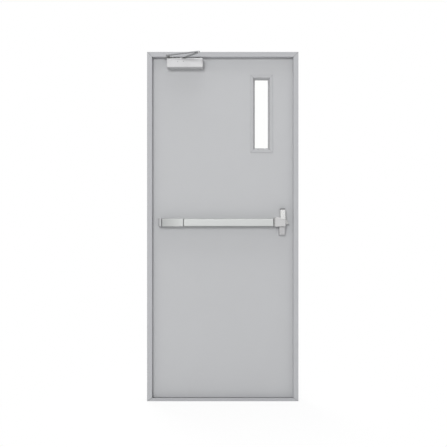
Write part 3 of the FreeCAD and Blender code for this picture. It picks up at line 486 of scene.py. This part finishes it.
def satin_metal(name, colour, along, roughness, metallic=1.0, painted_shade_end=None):
    """Metal with fine scratches along one axis; painted_shade_end is (low x, high x, share)."""
    material, tree = empty_material(name)
    spot = add(tree, "ShaderNodeTexCoord").outputs["Object"]
    stretch = [per_metre(SCRATCH_MM)] * 3
    stretch[along] = per_metre(SCRATCH_RUN_MM)
    drawn = add(tree, "ShaderNodeMapping", {"Scale": stretch}, {"Vector": spot})
    lines = add(tree, "ShaderNodeTexNoise", {"Scale": 1.0, "Detail": 3.0},
                {"Vector": drawn.outputs[0]})
    tone = add(tree, "ShaderNodeMix", {6: linear(colour, 0.95), 7: linear(colour, 1.05)},
               {0: lines.outputs["Fac"]}, data_type="RGBA")
    # Painted shade: the tone is mixed towards black, by the full share at start x and not at all
    # at end x.
    if painted_shade_end:
        start, end, share = painted_shade_end
        axes = add(tree, "ShaderNodeSeparateXYZ", {}, {0: spot})
        shade_fade = add(tree, "ShaderNodeMapRange",
                     {"From Min": start, "From Max": end, "To Min": share, "To Max": 0.0},
                     {"Value": axes.outputs["X"]})
        tone = add(tree, "ShaderNodeMix", {7: linear("#000000")},
                   {0: shade_fade.outputs[0], 6: tone.outputs[2]}, data_type="RGBA")
    sheen = add(tree, "ShaderNodeMapRange",
                {"To Min": roughness - GLOSS_SPREAD, "To Max": roughness + GLOSS_SPREAD},
                {"Value": lines.outputs["Fac"]})
    skin = add(tree, "ShaderNodeBump", {"Strength": 0.10, "Distance": 0.0003},
               {"Height": lines.outputs["Fac"]})
    shader = add(tree, "ShaderNodeBsdfPrincipled", {"Metallic": metallic},
                 {"Base Color": tone.outputs[2], "Roughness": sheen.outputs[0],
                  "Normal": skin.outputs[0]})
    add(tree, "ShaderNodeOutputMaterial", {}, {"Surface": shader.outputs[0]})
    return material


print("scratches drawn", SCRATCH_MM, "mm apart")

# %% [markdown]
# ### The door's satin metals
#
# The bar's aluminium is anodised, and its clear skin makes it less mirror-like than bare
# metal. The sloping cover at the hinge side, where it tapers off, carries painted shade: its
# tone darkens towards its low end. The other metals have the same fine lines and differ in
# tone and gloss: the hinges are satin stainless steel, the closer's arms and the screws are
# zinc plated, and the latch is nickel plated.

# %% The door's satin metals
SATIN, SATIN_METALLIC, PAINTED_SHADE_SHARE = 0.50, 0.4, 0.32
cover_low, cover_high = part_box("rail_cover")
pad_satin = satin_metal("satin_aluminium_touch_pad", "#B8BAB9", ALONG_X, SATIN,
                        SATIN_METALLIC)
rail_satin = satin_metal("satin_aluminium_rail", "#A4A6A5", ALONG_X, SATIN, SATIN_METALLIC)
# The rail cover gets painted shade, darker towards its low end.
cover_satin = satin_metal("satin_aluminium_rail_cover", "#B6B8B7", ALONG_X, SATIN,
                          SATIN_METALLIC, painted_shade_end=(cover_low.x, cover_high.x, PAINTED_SHADE_SHARE))
arm_satin = satin_metal("zinc_plated_steel_arm", "#A8A9AB", ALONG_X, roughness=0.46,
                        metallic=0.85)
hinge_satin = satin_metal("satin_stainless_hinge", "#B9B8B5", ALONG_Z, roughness=0.32)
latch_nickel = satin_metal("nickel_plated_latch", "#A0A09F", ALONG_Z, roughness=0.28)
plated = satin_metal("zinc_plated_screw", "#B4B5B6", ALONG_Z, roughness=0.30)
print("satin cover is duller from x =", round(cover_high.x, 3), "to", round(cover_low.x, 3))

# %% [markdown]
# ## Give each CAD piece its finish
#
# A CAD piece keeps its shape. Only the material in its slots is changed. The list goes by
# the beginnings of the pieces' names, from the general to the particular, and the last one
# that fits is taken.

# %% Finishes by name
FINISHES = (
    ("leaf_front_skin", leaf_coat), ("leaf_back_skin", leaf_coat),
    ("leaf_top_channel", edge_coat), ("leaf_bottom_channel", edge_coat),
    ("leaf_core", mineral_board), ("smoke_seal", seal_rubber), ("glazing_tape", seal_rubber),
    ("frame_", frame_coat), ("vision_bead", bead_coat), ("vision_glass", fire_glass),
    ("hinge_", hinge_satin), ("closer_", closer_enamel), ("closer_main_arm", arm_satin),
    ("closer_fore_arm", arm_satin), ("closer_spindle", hinge_satin),
    ("closer_elbow_pin", hinge_satin), ("closer_shoe", case_enamel),
    ("touch_pad", pad_satin), ("rail_cover", cover_satin), ("exit_rail", rail_satin),
    ("rail_end_cap", cap_enamel), ("latch_case", case_enamel),
    ("latch_case_upper_cover", post_enamel), ("latch_case_lower_cover", foot_enamel),
    ("latch_case_end_plug", plug_nylon), ("latch_bolt", latch_nickel),
)
for name, node in nodes.items():
    chosen = [finish for start, finish in FINISHES if name.startswith(start)][-1]
    for slot in node.material_slots:
        slot.material = chosen
    if not node.material_slots:
        node.data.materials.append(chosen)
print(len({finish.name for start, finish in FINISHES}), "finishes on", len(nodes), "pieces")

# %% [markdown]
# ## Two pieces with one side view
#
# Some forms have the same side view all along. Stacked boxes would leave steps and seams in
# them. It is shorter to draw the side view once as a few points, draw it out sideways, and
# let a bevel soften the edges, as folded sheet and castings have no sharp ones. Two small
# pieces are made that way: the sill's upstand and the lip of the latch case's upper cover.
#
# The bevel can list its points and faces in another order each time it runs. The piece is
# the same, but its mesh isn't, so both are put in order by their places.

# %% A side view drawn out along X
def in_order(bm, name):
    """The shape as a mesh whose points and faces come in the same order on every run."""
    points = sorted(bm.verts, key=lambda point: tuple(point.co))
    rank = {point: i for i, point in enumerate(points)}
    faces = []
    for face in bm.faces:
        corners = [rank[point] for point in face.verts]
        first = corners.index(min(corners))
        faces.append(corners[first:] + corners[:first])
    mesh = bpy.data.meshes.new(name)
    mesh.from_pydata([point.co for point in points], [], sorted(faces))
    return mesh


def drawn_out(name, outline, left, right, soften, finish):
    """A closed piece from a side view in (y, z), drawn out from left to right."""
    bm = bmesh.new()
    ends = [[bm.verts.new((x, y, z)) for y, z in outline] for x in (left, right)]
    for i in range(len(outline)):
        j = (i + 1) % len(outline)
        bm.faces.new((ends[0][i], ends[0][j], ends[1][j], ends[1][i]))
    for end in ends:
        bm.faces.new(end)
    bmesh.ops.recalc_face_normals(bm, faces=bm.faces[:])
    bmesh.ops.bevel(bm, geom=bm.edges[:], offset=soften, segments=2, profile=0.5,
                    affect="EDGES", clamp_overlap=True)
    bmesh.ops.triangulate(bm, faces=bm.faces[:])
    mesh = in_order(bm, name)
    bm.free()
    mesh.materials.append(finish)
    made = bpy.data.objects.new(name, mesh)
    bpy.context.scene.collection.objects.link(made)
    size = [round(v * 1000, 1) for v in made.dimensions]
    print(name, size, "mm,", len(mesh.polygons), "faces")
    return made


# %% [markdown]
# ### The sill's upstand
#
# Along its front edge the sill is folded up into a low upstand, which meets the jambs and
# closes the frame's face at the bottom. It is a strip of folded sheet with a rounded top.

# %% Upstand of the sill
UPSTAND_THICK, UPSTAND_SOFTEN = 0.003, 0.0006
sill_low, sill_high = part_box("frame_sill")
front, back = sill_low.y, sill_low.y + UPSTAND_THICK
upstand = drawn_out("frame_sill_upstand",
                    [(front, sill_high.z), (front, UPSTAND_TOP),
                     (back, UPSTAND_TOP), (back, sill_high.z)],
                    FACE - half_width, half_width - FACE, UPSTAND_SOFTEN, frame_coat)
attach(upstand, "frame")

# %% [markdown]
# ### The lip of the upper cover
#
# The cover above the latch case hooks over the case's top edge and ends in a low lip on its
# front. The side view is a hook of eight points that follows the case's front, its top edge
# and the cover's sloping face. The cover leans back by 7 mm over its height, and the hook's
# upper end leans with it.

# %% Lip of the upper cover
case_low, case_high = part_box("latch_case")
post_low, post_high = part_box("latch_case_upper_cover")
LEAN = 0.007 / (post_high.z - post_low.z)
LIP_DROP, LIP_RISE, LIP_THICK, LIP_AIR = 0.0136, 0.0075, 0.0022, 0.0002
LIP_CHAMFER, LIP_CHAMFER_RISE, LIP_INSET, LIP_SOFTEN = 0.0012, 0.0014, 0.0010, 0.0005


def lip_outline():
    """The hook's side view as (y, z), from the case's front over its edge to the cover."""
    inner, top = case_low.y - LIP_AIR, case_high.z + LIP_AIR
    end = case_high.z - LIP_DROP
    peak = case_high.z + LIP_RISE
    outer = inner - LIP_THICK
    rest = post_low.y - LIP_AIR
    peak_y = rest + LEAN * LIP_RISE
    return [(inner, end), (outer + LIP_CHAMFER, end), (outer, end + LIP_CHAMFER_RISE),
            (outer, top - LIP_CHAMFER), (peak_y - LIP_THICK, peak), (peak_y, peak),
            (rest, top), (inner, top)]


lip = drawn_out("latch_case_cover_lip", lip_outline(), post_low.x + LIP_INSET,
                post_high.x - LIP_INSET, LIP_SOFTEN, post_enamel)
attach(lip, "leaf")

# %% [markdown]
# ## One screw head
#
# Small screws hold the hinge plates, the arm shoe, the rear glazing bead and the latch
# case, and two small dark nylon plugs cover the adjusting screws in the closer's front. One
# head is modelled and then repeated by a node tree. The head is a low dome with a cross
# recess. Its mesh is one unit in radius and stands one unit high, so the tree can stretch
# it to any head. Its foot goes half a unit into the surface, so that no gap shows.

# %% A screw head of radius 1 and height 1
HEAD_SIDES = 24
HEAD_PROFILE = ((1.0, -0.5), (1.0, 0.35), (0.86, 0.85), (0.72, 1.0))
CROSS_LONG, CROSS_SLIM, RECESS_TAPER, RECESS_FLOOR = 0.52, 0.13, 0.8, 0.15


def ring(bm, radius, height):
    """One ring of the head's dome."""
    turn = 2 * math.pi / HEAD_SIDES
    return [bm.verts.new((radius * math.cos(turn * i), radius * math.sin(turn * i), height))
            for i in range(HEAD_SIDES)]


def screw_head():
    """Closed mesh of the head; the faces of the cross recess are marked."""
    bm = bmesh.new()
    rings = [ring(bm, radius, height) for radius, height in HEAD_PROFILE]
    for lower, upper in zip(rings, rings[1:]):
        for i in range(HEAD_SIDES):
            j = (i + 1) % HEAD_SIDES
            bm.faces.new((lower[i], lower[j], upper[j], upper[i]))
    bm.faces.new(reversed(rings[0]))
    arm, slim = CROSS_LONG, CROSS_SLIM
    outline = [(slim, arm), (-slim, arm), (-slim, slim), (-arm, slim), (-arm, -slim),
               (-slim, -slim), (-slim, -arm), (slim, -arm), (slim, -slim), (arm, -slim),
               (arm, slim), (slim, slim)]
    corners = len(outline)
    edge = [bm.verts.new((x, y, 1.0)) for x, y in outline]
    deep = [bm.verts.new((x * RECESS_TAPER, y * RECESS_TAPER, RECESS_FLOOR))
            for x, y in outline]
    rim = [bm.edges.get((rings[-1][i], rings[-1][(i + 1) % HEAD_SIDES]))
           for i in range(HEAD_SIDES)]
    cross = [bm.edges.new((edge[i], edge[(i + 1) % corners])) for i in range(corners)]
    bmesh.ops.triangle_fill(bm, use_beauty=True, use_dissolve=False, edges=rim + cross)
    recess = bm.faces.layers.bool.new("recess")
    walls = [bm.faces.new((edge[i], edge[(i + 1) % corners], deep[(i + 1) % corners], deep[i]))
             for i in range(corners)]
    walls.append(bm.faces.new(deep))
    for wall in walls:
        wall[recess] = True
    bmesh.ops.recalc_face_normals(bm, faces=bm.faces[:])
    mesh = bpy.data.meshes.new("screw_head")
    bm.to_mesh(mesh)
    bm.free()
    mesh.materials.append(plated)
    return mesh


head = bpy.data.objects.new("screw_head", screw_head())
print("screw head:", len(head.data.polygons), "faces")

# %% [markdown]
# The cross recess gets its own dark, uneven metal, which is painted shade: the head is too
# shallow for real shade to gather in its recess.

# %% The recess of a screw
# Painted shade for the cross recess of every screw head.
RECESS_SHADE_SPOTS_MM = 1.11
painted_recess_shade, tree = empty_material("screw_recess_painted_shade")
spot = add(tree, "ShaderNodeTexCoord").outputs["Object"]
shade_spots = add(tree, "ShaderNodeTexNoise", {"Scale": per_metre(RECESS_SHADE_SPOTS_MM)}, {"Vector": spot})
dark = add(tree, "ShaderNodeMix", {6: linear("#3A3A3B"), 7: linear("#5A5A5A")},
           {0: shade_spots.outputs["Fac"]}, data_type="RGBA")
shader = add(tree, "ShaderNodeBsdfPrincipled", {"Metallic": 0.6, "Roughness": 0.6},
             {"Base Color": dark.outputs[2]})
add(tree, "ShaderNodeOutputMaterial", {}, {"Surface": shader.outputs[0]})
print("grime drawn", RECESS_SHADE_SPOTS_MM, "mm apart")

# %% [markdown]
# ## A tree that sets a head on each point
#
# The tree takes a cloud of points. Each point carries the direction that its surface faces,
# a share of the head's full size, and whether the head is a dark plug. The sizes, the
# materials and the seed are the tree's own inputs, so one tree serves every body.

# %% The tree and its inputs
screws = bpy.data.node_groups.new("screws_on_points", "GeometryNodeTree")
for name, kind in (("Geometry", "Geometry"), ("Screw Head", "Object"),
                   ("Head Diameter", "Float"), ("Head Height", "Float"),
                   ("Plating", "Material"), ("Recess", "Material"),
                   ("Dark Head", "Material"), ("Seed", "Int")):
    screws.interface.new_socket(name=name, in_out="INPUT", socket_type="NodeSocket" + kind)
screws.interface.new_socket(name="Geometry", in_out="OUTPUT",
                            socket_type="NodeSocketGeometry")
socket = {s.name: s.identifier for s in screws.interface.items_tree if s.in_out == "INPUT"}
given = add(screws, "NodeGroupInput")


def carried(name, kind):
    """What each point or face carries under that name."""
    return add(screws, "GeometryNodeInputNamedAttribute", {"Name": name},
               data_type=kind).outputs["Attribute"]


print("tree inputs:", list(socket))

# %% [markdown]
# A head is stood upright on its surface and turned by a random angle about its own axis,
# since no two screws stop alike. A quarter turn covers every look that a cross can have.

# %% Turn each head
upright = add(screws, "FunctionNodeAlignRotationToVector", {},
              {"Vector": carried("facing", "FLOAT_VECTOR")}, axis="Z")
angle = add(screws, "FunctionNodeRandomValue", {2: 0.0, 3: math.pi / 2},
            {"Seed": given.outputs["Seed"]}, data_type="FLOAT")
twist = add(screws, "FunctionNodeAxisAngleToRotation", {"Axis": (0, 0, 1)},
            {"Angle": angle.outputs[1]})
turned = add(screws, "FunctionNodeRotateRotation", {},
             {0: upright.outputs[0], 1: twist.outputs[0]}, rotation_space="LOCAL")
print("heads turn by up to", round(math.degrees(math.pi / 2)), "degrees")

# %% [markdown]
# Half the diameter times the point's share gives the radius. The instances are then made
# real, because an export drops instances, and each kind of face gets its material.

# %% Stretch the heads, make them real and paint them
radius = add(screws, "ShaderNodeMath", {1: 0.5}, {0: given.outputs["Head Diameter"]},
             operation="MULTIPLY")
radius = add(screws, "ShaderNodeMath", {},
             {0: radius.outputs[0], 1: carried("share", "FLOAT")}, operation="MULTIPLY")
stretch = add(screws, "ShaderNodeCombineXYZ", {},
              {0: radius.outputs[0], 1: radius.outputs[0], 2: given.outputs["Head Height"]})
one_head = add(screws, "GeometryNodeObjectInfo", {}, {"Object": given.outputs["Screw Head"]})
heads = add(screws, "GeometryNodeInstanceOnPoints", {},
            {"Points": given.outputs["Geometry"], "Instance": one_head.outputs["Geometry"],
             "Rotation": turned.outputs[0], "Scale": stretch.outputs[0]})
real = add(screws, "GeometryNodeRealizeInstances", {}, {0: heads.outputs[0]})
steel = add(screws, "GeometryNodeSetMaterial", {},
            {"Geometry": real.outputs[0], "Material": given.outputs["Plating"]})
nylon = add(screws, "GeometryNodeSetMaterial", {},
            {"Geometry": steel.outputs[0], "Selection": carried("dark", "BOOLEAN"),
             "Material": given.outputs["Dark Head"]})
# The recess faces get the painted shade.
shaded = add(screws, "GeometryNodeSetMaterial", {},
             {"Geometry": nylon.outputs[0], "Selection": carried("recess", "BOOLEAN"),
              "Material": given.outputs["Recess"]})
add(screws, "NodeGroupOutput", {}, {"Geometry": shaded.outputs[0]})
print("the tree has", len(screws.nodes), "nodes")

# %% [markdown]
# ## Where the screws sit
#
# The places are worked out from the CAD boxes. A point is its place, the direction that it
# faces and its share of a full head. The hinge screws are countersunk: they end a tenth of a
# millimetre above the plate, because the two plates of a closed hinge nearly touch. The
# fore arm sweeps close under the shoe, so the shoe's screws are just as flat.

# %% Points on the frame
HINGES = ("top", "middle", "bottom")
HINGE_SCREWS = ((0.046, 0.031), (0.016, 0.019), (-0.016, 0.019), (-0.046, 0.031))
PLATE_GAP_HALF = 0.00025
SHOE_SCREWS_X, SHOE_EDGE, SHOE_FLANGE = (-0.020, 0.020), 0.009, 0.003
FULL, SMALL, COVER_SHARE, DARK_SHARE = 1.0, 0.8, 0.85, 0.45


def hinge_points(where, side):
    """Four countersunk screws in a zigzag; side is -1 for the frame's plate, 1 for the leaf's."""
    pin_low, pin_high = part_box("hinge_%s_pin" % where)
    pin = (pin_low + pin_high) / 2
    return [((pin.x + side * PLATE_GAP_HALF, pin.y - behind, pin.z + rise), (-side, 0, 0), FULL)
            for rise, behind in HINGE_SCREWS]


shoe_low, shoe_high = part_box("closer_shoe")
shoe_mid = (shoe_low + shoe_high) / 2
frame_points = [point for where in HINGES for point in hinge_points(where, -1)]
frame_points += [((shoe_mid.x + x, shoe_high.y - SHOE_EDGE, shoe_high.z - SHOE_FLANGE),
                  (0, 0, -1), SMALL) for x in SHOE_SCREWS_X]
print(len(frame_points), "screws in the frame")

# %% [markdown]
# The leaf carries its own hinge plates, the closer's two plugs, one screw in the upper
# cover, which leans as the cover does, and eight screws around the rear glazing bead.

# %% Points on the leaf
PLUGS_X, PLUG_Z = (-0.2691, -0.2356), 2.0362
COVER_SCREW_X, COVER_SCREW_Z = 0.3642, 1.1356
BEAD_SCREWS_Z, BEAD_EDGE = (-0.165, 0.0, 0.165), 0.0085
closer_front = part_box("closer_body")[0].y
bead_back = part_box("vision_bead_back")[1].y
bead_x, bead_z = bead_half.x - BEAD_EDGE, bead_half.z - BEAD_EDGE

leaf_points = [point for where in HINGES for point in hinge_points(where, 1)]
leaf_points += [((x, closer_front, PLUG_Z), (0, -1, 0), DARK_SHARE) for x in PLUGS_X]
cover_y = post_low.y + LEAN * (COVER_SCREW_Z - post_low.z)
leaf_points.append(((COVER_SCREW_X, cover_y, COVER_SCREW_Z), (0, -1, LEAN), COVER_SHARE))
leaf_points += [((bead_mid.x + side * bead_x, bead_back, bead_mid.z + z), (0, 1, 0), SMALL)
                for z in BEAD_SCREWS_Z for side in (-1, 1)]
leaf_points += [((bead_mid.x, bead_back, bead_mid.z + side * bead_z), (0, 1, 0), SMALL)
                for side in (-1, 1)]
print(len(leaf_points), "screws in the leaf")

# %% [markdown]
# ## Points into screws
#
# The points of one body become a mesh of loose points, and the tree turns it into screws.
# The result is read back as a plain mesh, and the modifier is taken off again, so that the
# piece is as simple as the CAD pieces are.

# %% Turn the points into screws
HEAD_DIAMETER, HEAD_HEIGHT = 0.0092, 0.00012
FRAME_SEED, LEAF_SEED = 3, 8


def screws_on(body, points, seed):
    """One plain mesh of screws for a body; the dark plugs are told by their share."""
    mesh = bpy.data.meshes.new(body + "_screws")
    mesh.from_pydata([p[0] for p in points], [], [])
    for name, kind, field, values in (
            ("facing", "FLOAT_VECTOR", "vector", [v for p in points for v in p[1]]),
            ("share", "FLOAT", "value", [p[2] for p in points]),
            ("dark", "BOOLEAN", "value", [p[2] == DARK_SHARE for p in points])):
        mesh.attributes.new(name, kind, "POINT").data.foreach_set(field, values)
    made = bpy.data.objects.new(body + "_screws", mesh)
    bpy.context.scene.collection.objects.link(made)
    modifier = made.modifiers.new("screws", "NODES")
    modifier.node_group = screws
    for name, value in (("Screw Head", head), ("Head Diameter", HEAD_DIAMETER),
                        ("Head Height", HEAD_HEIGHT), ("Plating", plated),
                        ("Recess", painted_recess_shade), ("Dark Head", plug_nylon), ("Seed", seed)):
        modifier[socket[name]] = value
    ready = made.evaluated_get(bpy.context.evaluated_depsgraph_get())
    plain = bpy.data.meshes.new_from_object(ready)
    made.modifiers.remove(modifier)
    made.data = plain
    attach(made, body)
    print(made.name, len(plain.polygons), "faces", [m.name for m in plain.materials])


screws_on("frame", frame_points, FRAME_SEED)
screws_on("leaf", leaf_points, LEAF_SEED)
bpy.data.objects.remove(head)
